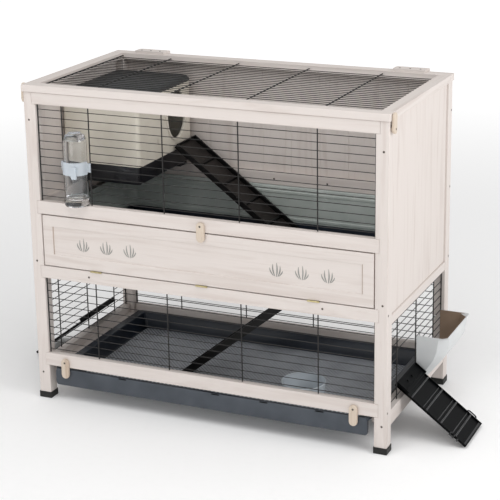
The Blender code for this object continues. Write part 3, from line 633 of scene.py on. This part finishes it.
def show_flap_moulding():
    """An upright bead at each end of the flap's recess, in darker wood: painted shade along the recess's
    edges.
    """
    low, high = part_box("front_flap")
    inset = FLAP_FRAME + 0.0012
    bottom, top = low.z + FLAP_FRAME * 0.78 + 0.004, high.z - FLAP_FRAME * 0.75 - 0.004
    builder = bmesh.new()
    for x in (low.x + inset, high.x - inset):
        add_rod(builder, (x, FLAP_FIELD, bottom), (x, FLAP_FIELD, top), 0.0014, 10, 0.6)
    piece = new_object("flap_moulding", builder, [WOOD_PAINTED_SHADE])
    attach(piece, "flap")


def show_flap_stops():
    """Thin strips behind the gap round the flap, on the posts and under the rail, in darker wood: painted
    shade in the gap.
    """
    low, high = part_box("front_flap")
    side = RIGHT - POST
    rail_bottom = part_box("front_middle_rail")[0].z
    y_low, y_high = high.y + 0.0008, high.y + 0.0045
    builder = bmesh.new()
    for sign in (-1, 1):
        x_low, x_high = sorted((sign * (side - 0.0060), sign * (side + 0.0005)))
        add_box(builder, (x_low, y_low, low.z + 0.001), (x_high, y_high, rail_bottom))
    add_box(builder, (-side, y_low, rail_bottom - 0.0060), (side, y_high, rail_bottom + 0.0005))
    piece = new_object("flap_stops", builder, [WOOD_PAINTED_SHADE])
    soften_edges(piece, 0.0004)
    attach(piece, "cage")


def show_buttons():
    """A fine raised panel on each turn-button, and the screws that the buttons and latches turn on."""
    for node, axis_z in (
        ("flap_turn_button", FLAP_BUTTON_AXIS),
        ("tray_turn_button_left", TRAY_BUTTON_AXIS),
        ("tray_turn_button_right", TRAY_BUTTON_AXIS),
    ):
        low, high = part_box(node)
        x = (low.x + high.x) / 2
        outline = stadium(x, low.z + 0.005, axis_z - 0.009, 0.012)
        builder = bmesh.new()
        loft_into(builder, [[(a, y, b) for a, b in outline] for y in (low.y + 0.002, low.y - 0.0008)])
        panel = new_object(f"{node}_panel", builder, [TURNED["z"]])
        soften_edges(panel, 0.0006)
        body = NODES[node]["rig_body"]
        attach(panel, body)
        show_screws(f"{node}_screw", body, [((x, low.y, axis_z), (0, -1, 0))])
    for side, sign in (("left", -1), ("right", 1)):
        node = f"roof_latch_{side}"
        low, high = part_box(node)
        outer = high.x if sign > 0 else low.x
        place = ((outer, FRONT + POST / 2, ROOF_LATCH_AXIS), (sign, 0, 0))
        show_screws(f"{node}_screw", NODES[node]["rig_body"], [place])


def show_flap_hinges():
    """Five knuckles on a pin, and the leaf behind them."""
    knuckles, radius, pin_radius, gap = 5, 0.0026, 0.0014, 0.0002
    for node in ("flap_hinge_left", "flap_hinge_middle", "flap_hinge_right"):
        low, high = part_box(node)
        y, z = low.y + radius, (low.z + high.z) / 2
        pitch = (high.x - low.x) / knuckles
        builder = bmesh.new()
        for index in range(knuckles):
            start, end = low.x + pitch * index + gap, low.x + pitch * (index + 1) - gap
            add_rod(builder, (start, y, z), (end, y, z), radius, 16, 0.2)
        add_rod(builder, (low.x + 0.0001, y, z), (high.x - 0.0001, y, z), pin_radius, 12)
        add_box(builder, (low.x + 0.001, y + 0.001, z - 0.0012), (high.x - 0.001, high.y, z - 0.0002))
        piece = new_object(f"{node}_shown", builder, [BRASS])
        join_body(piece, node)


def show_roof_hinge_screws():
    """Three screws down into the lid through each leaf, and two into the cage through each base."""
    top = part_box("roof_front_rail")[1].z + 0.0085
    face = REAR + 0.0015
    for side in ("left", "right"):
        low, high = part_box(f"roof_hinge_{side}_leaf")
        width = high.x - low.x
        places = [((low.x + width * t, low.y + 0.013, top), (0, 0, 1)) for t in (0.18, 0.5, 0.82)]
        show_screws(f"roof_hinge_{side}_leaf_screws", "roof_lid", places)
        low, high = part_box(f"roof_hinge_{side}_base")
        width = high.x - low.x
        places = [((low.x + width * t, face, low.z + 0.018), (0, 1, 0)) for t in (0.2, 0.8)]
        show_screws(f"roof_hinge_{side}_base_screws", "cage", places)


# ---- trays and guard
def show_lower_tray():
    """A moulded tray: rolled bottom edge, drafted walls, a flange, and a hatched floor inside."""
    low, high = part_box("lower_tray")
    bottom, top = low.z, high.z

    def outline(inset, corner, z):
        near = (low.x + inset, low.y + inset * 0.35)
        far = (high.x - inset, high.y - inset * 0.6)
        return [(x, y, z) for x, y in rounded_rectangle(near, far, corner)]

    loops = [  # up the outside, over the flange and down the inside
        outline(0.046, 0.012, bottom),
        outline(0.038, 0.016, bottom + 0.0010),
        outline(0.0330, 0.018, bottom + 0.0050),
        outline(0.0305, 0.018, bottom + 0.0120),
        outline(0.0225, 0.014, top - 0.0085),
        outline(0.0220, 0.014, top - 0.0050),
        outline(0.0040, 0.016, top - 0.0045),
        outline(0.0030, 0.016, top - 0.0085),
        outline(0.0004, 0.018, top - 0.0085),
        outline(0.0002, 0.018, top - 0.0016),
        outline(0.0020, 0.017, top),
        outline(0.0270, 0.012, top),
        outline(0.0290, 0.011, top - 0.0015),
        outline(0.0380, 0.010, bottom + 0.0120),
        outline(0.0410, 0.010, bottom + 0.0055),
        outline(0.0460, 0.010, bottom + 0.0036),
    ]
    flange_top = 10
    builder = bmesh.new()
    rows = loft_into(builder, loops)
    inside = {vertex for row in rows[flange_top:] for vertex in row}
    floor = set(rows[-1])
    for face in builder.faces:
        if all(vertex in floor for vertex in face.verts):
            face.material_index = 2
        elif all(vertex in inside for vertex in face.verts):
            face.material_index = 1
    piece = new_object("lower_tray_shown", builder, [TRAY_SKIN, TRAY_INSIDE, TRAY_FLOOR])
    join_body(piece, "lower_tray")
    show_tray_front(low, high)
    show_tray_notches(low, high)


def show_tray_front(low, high):
    """The flat plate that closes the lower tray's front, with its middle a little proud."""
    panel = rounded_rectangle((low.x + 0.005, low.z + 0.0005), (high.x - 0.005, high.z - 0.0020), 0.009)
    inner = rounded_rectangle((low.x + 0.009, low.z + 0.0045), (high.x - 0.009, high.z - 0.0060), 0.007)
    layers = ((0.0110, panel), (0.0012, panel), (0.0002, inner))
    builder = bmesh.new()
    loft_into(builder, [[(x, low.y + depth, z) for x, z in outline] for depth, outline in layers])
    plate = new_object("lower_tray_front", builder, [TRAY_SKIN])
    soften_edges(plate, 0.0006)
    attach(plate, "tray")


def show_tray_notches(low, high):
    """Black boxes along the lower tray's front rim: painted shade for its notches."""
    half, bottom, top = 0.013, high.z - 0.0048, high.z - 0.0008
    builder = bmesh.new()
    for x in (LEFT + 0.30, LEFT + 0.62, LEFT + 0.78, LEFT + 0.96):
        add_box(builder, (x - half, low.y - 0.0004, bottom), (x + half, low.y + 0.0040, top))
    marks = new_object("lower_tray_rim_notches", builder, [BLACK_PLASTIC])
    soften_edges(marks, 0.0005)
    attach(marks, "tray")


def show_upper_tray():
    """The upper tray, with the upper side of its floor hatched."""
    piece = softened("upper_tray", TRAY_INSIDE, 0.0012)
    piece.data.materials.append(TRAY_FLOOR)
    above_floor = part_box("upper_tray")[0].z + 0.01
    for face in piece.data.polygons:
        if face.normal.z > 0.9 and face.center.z < above_floor:
            face.material_index = 1


def show_wall_guard():
    """The bent sheet, with a rolled top edge and two moulded beads on its inner face."""
    low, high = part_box("wall_guard")
    thick, proud, bend, steps = 0.003, 0.0052, 0.030, 12
    profile = [  # distance from the sheet's outer face, and height
        (0.0, low.z),
        (0.0, high.z - 0.0015),
        (0.0008, high.z),
        (0.0022, high.z),
        (thick, high.z - 0.0015),
    ]
    for bead in (high.z - 0.022, low.z + 0.010):
        steps_out = ((thick, 0.006), (proud, 0.003), (proud, -0.003), (thick, -0.006))
        profile += [(depth, bead + rise) for depth, rise in steps_out]
    profile.append((thick, low.z))

    right, up = Vector((1, 0, 0)), Vector((0, 0, 1))
    stations = [(Vector((low.x, low.y, 0)), right)]  # a point on the outer face, and the way in from there
    for x, first_angle in ((low.x + bend, 180), (high.x - bend, 90)):
        for step in range(steps + 1):
            angle = math.radians(first_angle - 90 * step / steps)
            outward = Vector((math.cos(angle), math.sin(angle), 0))
            stations.append((Vector((x, high.y - bend, 0)) + outward * bend, -outward))
    stations.append((Vector((high.x, low.y, 0)), -right))
    builder = bmesh.new()
    loops = [[point + inward * depth + up * z for depth, z in profile] for point, inward in stations]
    loft_into(builder, loops)
    piece = new_object("wall_guard_shown", builder, [GUARD])
    join_body(piece, "wall_guard")


# ---- ladders and door ramps
def slope_frame(hinge, slope, leftward):
    """World from ladder axes: +X down the ladder, +Y across it, +Z out of its walking side."""
    turn = Matrix.Rotation(math.pi, 4, "Z") if leftward else Matrix.Identity(4)
    return Matrix.Translation(hinge) @ turn @ Matrix.Rotation(math.radians(slope), 4, "Y")


def show_ladder(node, hinge, slope, leftward, length, width, depth, rungs, start):
    """A trough with lipped side walls, humped rungs and a hatched floor, from its start down its slope."""
    wall, floor, half = 0.0035, 0.003, width / 2
    rung_section = ((-0.006, 0.0), (-0.0035, 0.0075), (0.0, 0.0088), (0.0035, 0.0075), (0.006, 0.0))
    builder = bmesh.new()
    add_box(builder, (start, -half + 0.001, -depth), (length, half - 0.001, -depth + floor))
    floor_faces = list(builder.faces)
    for sign in (-1, 1):
        inner, outer = sorted((sign * (half - wall), sign * half))
        add_box(builder, (start, inner, -depth), (length, outer, -0.0012))
        lip_in, lip_out = sorted((sign * (half - wall * 2), sign * half))
        add_box(builder, (start, lip_in, -0.0022), (length, lip_out, 0.0))
    add_box(builder, (start, -half, -depth), (start + wall, half, -0.001))
    pitch = (length - start) / (rungs + 1)
    foot, rung_half = 0.0022 - depth, half - 0.002
    for rung in range(1, rungs + 1):
        x = start + pitch * rung
        loft_into(builder, [[(x + a, y, foot + b) for a, b in rung_section] for y in (-rung_half, rung_half)])
    for face in floor_faces:
        face.material_index = 1
    piece = new_object(f"{node}_shown", builder, [LADDER_PLASTIC, LADDER_FLOOR])
    soften_edges(piece, 0.0006)
    piece.matrix_world = slope_frame(hinge, slope, leftward)
    join_body(piece, node)


def show_ladders():
    upper_hinge = (LEFT + 0.2930, FRONT + 0.488, 0.7700)
    show_ladder("upper_ladder", upper_hinge, 37.2, False, 0.5036, 0.134, 0.018, 4, 0.0125)
    lower_hinge = (LEFT + 0.8820, FRONT + 0.2125, 0.4580)
    show_ladder("lower_ladder", lower_hinge, 38.85, True, 0.6130, 0.125, 0.024, 5, 0.003)


def show_door_ramp(side, sign, y):
    """A ramp that hangs on its doorway's sill, with a smooth plate at the top and its tip on the floor."""
    sill = SIDE_ROWS[DOOR_ROWS[0]]
    drop, reach = sill - 0.0165, 0.2225
    slope = math.degrees(math.atan2(drop, reach))
    length = math.hypot(drop, reach)
    start, half, depth, wall = 0.0035, 0.0855, 0.016, 0.0035
    plate_end, wall_top = 0.050, -0.0085
    builder = bmesh.new()
    add_box(builder, (start, -half + 0.001, -depth), (length, half - 0.001, -0.0132))
    for edge in (-1, 1):
        inner, outer = sorted((edge * (half - wall), edge * half))
        add_box(builder, (start, inner, -depth), (length, outer, wall_top))
        add_box(builder, (start, inner, -depth), (plate_end, outer, -0.0010))
    add_box(builder, (start, -half, -depth), (start + wall, half, -0.0010))
    # The plate, a rib across it, and two studs on it.
    add_box(builder, (start + 0.0030, -half + 0.003, -0.0080), (plate_end, half - 0.003, -0.0060))
    add_box(builder, (0.0385, -half + 0.012, -0.0065), (0.0425, half - 0.012, -0.0045))
    for offset in (-0.028, 0.012):
        add_rod(builder, (0.0240, offset, -0.0070), (0.0240, offset, -0.0030), 0.0042, 20, 0.25)
    add_box(builder, (length - 0.0040, -half, -depth), (length, half, -0.0090))
    piece = new_object(f"{side}_door_ramp_shown", builder, [BLACK_PLASTIC])
    soften_edges(piece, 0.0007)
    piece.matrix_world = slope_frame((sign * (RIGHT - WIRE_INSET), y, sill), slope, side == "left")
    join_body(piece, f"{side}_door_ramp")
    show_ramp_rungs(side, piece.matrix_world, plate_end, length, half)
    show_ramp_catches(side, piece.matrix_world, length, half)


def show_ramp_rungs(side, place, plate_end, length, half):
    """Thick rungs, each but the first with a thin one above it, and a bar across the tip."""
    rungs = 4
    pitch = (length - plate_end) / rungs
    reach = half - 0.0030
    builder = bmesh.new()
    for rung in range(rungs):
        x = plate_end + pitch * rung + 0.002
        add_rod(builder, (x + 0.0125, -reach, -0.0118), (x + 0.0125, reach, -0.0118), 0.0036, 12, 0.3)
        if rung:
            add_rod(builder, (x, -reach, -0.0125), (x, reach, -0.0125), 0.0016, 10, 0.3)
    add_box(builder, (length - 0.0100, -half + 0.006, -0.0136), (length - 0.0044, half - 0.006, -0.0104))
    piece = new_object(f"{side}_door_ramp_rungs", builder, [RUNG_GLOSS])
    piece.matrix_world = place
    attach(piece, f"{side}_ramp")


def show_ramp_catches(side, place, length, half):
    """Near the ramp's tip, a hook for the wires on one side and a finger loop on the other."""
    builder = bmesh.new()
    x = length - 0.062
    for shift in (0.0, 0.014):
        add_box(builder, (x + shift, -half - 0.0060, -0.0150), (x + shift + 0.004, -half + 0.0005, -0.0060))
    add_box(builder, (x, -half - 0.0080, -0.0150), (x + 0.018, -half - 0.0050, -0.0110))
    add_rod(builder, (x + 0.030, -half + 0.0005, -0.0120), (x + 0.030, -half - 0.0095, -0.0120), 0.0035, 14)
    arch = ((0, -0.1), (0.06, 0.7), (0.2, 1.0), (0.8, 1.0), (0.94, 0.7), (1, -0.1))
    loop = [(x + 0.004 + 0.034 * a, half + 0.0095 * b) for a, b in arch]
    for (x0, y0), (x1, y1) in zip(loop, loop[1:]):
        add_rod(builder, (x0, y0, -0.0100), (x1, y1, -0.0100), 0.0022, 10, 0.1)
    piece = new_object(f"{side}_door_ramp_catches", builder, [RUNG_GLOSS])
    soften_edges(piece, 0.0005)
    piece.matrix_world = place
    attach(piece, f"{side}_ramp")


# ---- nest box
def apply_cuts(piece, cutters):
    """Cuts the cutters out of the piece, and leaves one plain mesh."""
    for cutter in cutters:
        modifier = piece.modifiers.new(cutter.name, "BOOLEAN")
        modifier.operation = "DIFFERENCE"
        modifier.solver = "EXACT"
        modifier.object = cutter
    graph = bpy.context.evaluated_depsgraph_get()
    mesh = bpy.data.meshes.new_from_object(piece.evaluated_get(graph))
    piece.modifiers.clear()
    piece.data = mesh
    for cutter in cutters:
        bpy.data.objects.remove(cutter, do_unlink=True)


def nest_outline(inset, z, corner):
    """Points round the nest box's walls, moved in by the inset."""
    low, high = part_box("nest_box_walls")
    near, far = (low.x + inset, low.y + inset), (high.x - inset, high.y - inset)
    return [(x, y, z) for x, y in rounded_rectangle(near, far, corner)]


def entrance_oval(x, grow, count=56):
    """Points round the nest box's entrance, made larger all round by the amount given."""
    points = []
    for i in range(count):
        turn = 2 * math.pi * i / count
        y = ENTRANCE[0] + (ENTRANCE_HALF[0] + grow) * math.cos(turn)
        z = ENTRANCE[1] + (ENTRANCE_HALF[1] + grow) * math.sin(turn)
        points.append((x, y, z))
    return points


def show_nest_walls():
    """The walls, with the oval entrance and a narrow vent cut through the right one."""
    low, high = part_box("nest_box_walls")
    outer = [nest_outline(0, z, NEST_CORNER) for z in (low.z, high.z)]
    inner = [nest_outline(NEST_WALL, z, NEST_CORNER - NEST_WALL) for z in (high.z, low.z)]
    builder = bmesh.new()
    loft_into(builder, outer + inner, ring=True)
    walls = new_object("nest_box_walls_shown", builder, [NEST_SHELL])

    through = (high.x - 0.03, high.x + 0.03)
    hole = bmesh.new()
    loft_into(hole, [entrance_oval(x, 0) for x in through])
    vent = stadium(FRONT + 0.316, 0.780, 0.800, 0.0045)
    slot = bmesh.new()
    loft_into(slot, [[(x, a, b) for a, b in vent] for x in through])
    apply_cuts(walls, [new_object("nest_hole", hole, []), new_object("nest_vent", slot, [])])
    walls.data.shade_smooth()
    walls.data.set_sharp_from_angle(angle=math.radians(30))
    join_body(walls, "nest_box_walls")


def show_nest_rim():
    """A rolled rim round the entrance."""
    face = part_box("nest_box_walls")[1].x
    section = (  # growth of the oval, and distance out from the wall's face
        (-0.0005, -0.0035),
        (-0.0005, 0.0030),
        (0.0010, 0.0042),
        (0.0050, 0.0042),
        (0.0070, 0.0030),
        (0.0080, 0.0002),
        (0.0080, -0.0004),
        (0.0020, -0.0035),
    )
    builder = bmesh.new()
    loft_into(builder, [entrance_oval(face + out, grow) for grow, out in section], ring=True)
    rim = new_object("nest_entrance_rim", builder, [NEST_SHELL])
    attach(rim, "cage")


def show_nest_roof():
    """A lid that overhangs the walls a little, with an upright edge and a quarter-round shoulder."""
    low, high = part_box("nest_box_roof")
    overhang, edge, shoulder, steps = 0.002, 0.005, 0.016, 6
    edge_corner, top_corner = 0.016, 0.020
    loops = [nest_outline(-overhang, z, edge_corner) for z in (low.z, low.z + edge)]
    for step in range(1, steps + 1):
        angle = math.radians(90 * step / steps)
        inset = shoulder * (1 - math.cos(angle)) - overhang
        height = edge + (high.z - low.z - edge) * math.sin(angle)
        loops.append(nest_outline(inset, low.z + height, top_corner))
    builder = bmesh.new()
    loft_into(builder, loops)
    roof = new_object("nest_box_roof_shown", builder, [NEST_ROOF])
    join_body(roof, "nest_box_roof")


# ---- feeder, bottle, bowl
def show_feeder():
    """The feeder, its inner walls and floor in darker brown: painted shade, with a brown cast of reflected
    light.
    """
    piece = softened("hay_feeder", FEEDER, 0.0008)
    piece.data.materials.append(FEEDER_INSIDE_SHADE)
    low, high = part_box("hay_feeder")
    middle = Vector((low.x + 0.03, (low.y + high.y) / 2))
    for face in piece.data.polygons:
        looks_inward = (middle - face.center.xy).dot(face.normal.xy) > 0
        is_floor = face.normal.z > 0.5 and face.center.z < high.z - 0.01
        is_wall = face.normal.z < 0.9 and face.center.x > low.x + 0.002
        if is_floor or (looks_inward and is_wall):
            face.material_index = 1
    show_feeder_hooks(low, high)


def show_feeder_hooks(low, high):
    """Two hooks that go over a wire and down behind it."""
    behind, radius, sides = low.x - 0.0060, 0.0020, 10
    builder = bmesh.new()
    for y in (low.y + 0.05, high.y - 0.05):
        add_rod(builder, (low.x + 0.0005, y, high.z - 0.004), (behind, y, high.z - 0.004), radius, sides)
        add_rod(builder, (behind, y, high.z - 0.003), (behind, y, high.z - 0.018), radius, sides)
    hooks = new_object("hay_feeder_hooks", builder, [FEEDER])
    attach(hooks, "feeder")


def show_bottle():
    """A clear bottle on its flared base, with a screw cap, and the clip that holds it."""
    foot = foot_of("water_bottle")
    base = [
        (0.0, 0.0040), (0.0300, 0.0035), (0.0345, 0.0), (0.0372, 0.0010),
        (0.0385, 0.0040), (0.0385, 0.0170), (0.0376, 0.0190),
    ]
    wall = [(0.0362, 0.0205), (0.0362, 0.1960), (0.0355, 0.2030), (0.0330, 0.2090)]
    inner_wall = [(radius - 0.0020, height) for radius, height in reversed(wall)]
    inner_floor = [(0.0345, 0.0260), (0.0300, 0.0220), (0.0, 0.0200)]
    body = lathe("water_bottle_shown", foot, base + wall + inner_wall + inner_floor, [CLEAR])
    join_body(body, "water_bottle")
    cap_profile = [
        (0.0, 0.2040), (0.0312, 0.2040), (0.0325, 0.2092), (0.0322, 0.2140), (0.0290, 0.2190),
        (0.0225, 0.2225), (0.0200, 0.2235), (0.0195, 0.2265), (0.0170, 0.2280), (0.0, 0.2280),
    ]
    cap = lathe("water_bottle_cap", foot, cap_profile, [CAP_BLUE])
    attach(cap, "bottle")
    softened("bottle_clip", CLIP_PLASTIC, 0.0007)


def show_bowl():
    """A clear bowl on a foot ring, its rim band in opaque near-white: a painted highlight."""
    foot = foot_of("food_bowl")
    profile = [
        (0.0, 0.0030), (0.0520, 0.0028), (0.0560, 0.0), (0.0600, 0.0), (0.0630, 0.0030),
        (0.0655, 0.0150), (0.0690, 0.0500), (0.0695, 0.0535), (0.0682, 0.0550), (0.0668, 0.0540),
        (0.0655, 0.0450), (0.0620, 0.0140), (0.0590, 0.0075), (0.0540, 0.0060), (0.0, 0.0058),
    ]
    rim = foot.z + 0.0525
    piece = lathe("food_bowl_shown", foot, profile, [BOWL_PLASTIC, BOWL_RIM_HIGHLIGHT], 64)
    # Faces above the rim height take the painted highlight.
    for face in piece.data.polygons:
        if face.center.z > rim:
            face.material_index = 1
    join_body(piece, "food_bowl")


# ---- setting, light and camera
def make_floor():
    """A wide sheet of pale paper that glows faintly, and more with distance from the cage."""
    builder = bmesh.new()
    bmesh.ops.create_grid(builder, x_segments=2, y_segments=2, size=30.0)
    shader = Shader("floor_paper", Specular_IOR_Level=0.1)
    paper = shader.noise(shader.place, 40.0, 3.0)
    shader.link(shader.ramp(paper, (0.3, grey(0.95)), (0.7, grey(0.97))), "Base Color")
    shader.link(shader.range(paper, 0.85, 0.95), "Roughness")
    distance = shader.node("ShaderNodeVectorMath", {0: shader.place}, operation="LENGTH").outputs["Value"]
    inputs = {"Value": distance, "From Min": 1.0, "From Max": 6.0, "To Min": 0.04, "To Max": 0.50}
    glow = shader.node("ShaderNodeMapRange", inputs, interpolation_type="SMOOTHSTEP").outputs["Result"]
    shader.surface.inputs["Emission Color"].default_value = (1.0, 1.0, 1.0, 1.0)
    shader.link(glow, "Emission Strength")
    floor = new_object("floor", builder, [shader.material], smooth=False)
    floor.location.z = -0.0006


def make_light():
    """A white sky and three large soft lights: in front, at the right, and high over the front."""
    world = bpy.data.worlds.new("studio")
    bpy.context.scene.world = world
    world.use_nodes = True
    background = world.node_tree.nodes["Background"]
    background.inputs["Color"].default_value = (1.0, 1.0, 1.0, 1.0)
    background.inputs["Strength"].default_value = 0.58
    for name, place, target, size, power in (
        ("front", (-0.9, -4.6, 1.3), (0.0, 0.0, 0.45), 2.6, 38.0),
        ("side", (4.0, -0.6, 2.6), (0.2, 0.0, 0.5), 2.2, 72.0),
        ("top", (0.2, -1.9, 4.0), (0.0, 0.0, 0.5), 2.5, 40.0),
    ):
        data = bpy.data.lights.new(name, "AREA")
        data.size = size
        data.energy = power
        light = bpy.data.objects.new(name, data)
        light.location = place
        light.rotation_euler = (Vector(target) - Vector(place)).to_track_quat("-Z", "Y").to_euler()
        bpy.context.scene.collection.objects.link(light)


def make_camera():
    """A long lens from the front right, a little above the roof."""
    azimuth, pitch, roll = math.radians(23.2609), math.radians(16.1212), math.radians(-0.6933)
    level = Vector((math.cos(azimuth), math.sin(azimuth), 0.0))
    ahead = Vector((-math.sin(azimuth), math.cos(azimuth), 0.0))
    forward = ahead * math.cos(pitch) - Vector((0.0, 0.0, math.sin(pitch)))
    upright = level.cross(forward)
    right = level * math.cos(roll) + upright * math.sin(roll)
    up = upright * math.cos(roll) - level * math.sin(roll)
    data = bpy.data.cameras.new("camera")
    data.sensor_width = 36.0
    data.lens = 109.14
    data.shift_x = -0.05
    data.shift_y = -0.10
    data.clip_end = 100.0
    camera = bpy.data.objects.new("camera", data)
    place = Vector((LEFT + 2.4760, FRONT - 3.8377, 1.9474))
    turn = Matrix((right, up, -forward)).transposed().to_4x4()
    camera.matrix_world = Matrix.Translation(place) @ turn
    bpy.context.scene.collection.objects.link(camera)
    bpy.context.scene.camera = camera


def main():
    make_camera()
    show_wood()
    show_flap()
    show_rear_boards()
    frame_screws()
    show_grilles()
    show_flap_motifs()
    show_flap_moulding()
    show_flap_stops()
    show_buttons()
    show_flap_hinges()
    show_roof_hinge_screws()
    show_lower_tray()
    show_upper_tray()
    show_wall_guard()
    show_ladders()
    show_door_ramp("left", -1, MIDDLE_Y + 0.089)
    show_door_ramp("right", 1, MIDDLE_Y - 0.089)
    show_nest_walls()
    show_nest_rim()
    show_nest_roof()
    softened("nest_box_base", NEST_BASE, 0.0015, 3)
    show_feeder()
    show_bottle()
    show_bowl()
    for place in ("front", "rear"):
        for side in ("left", "right"):
            softened(f"{place}_{side}_foot_cap", CAP_RUBBER, 0.0005)
    make_floor()
    make_light()
    bpy.context.scene.view_settings.view_transform = "Standard"


main()
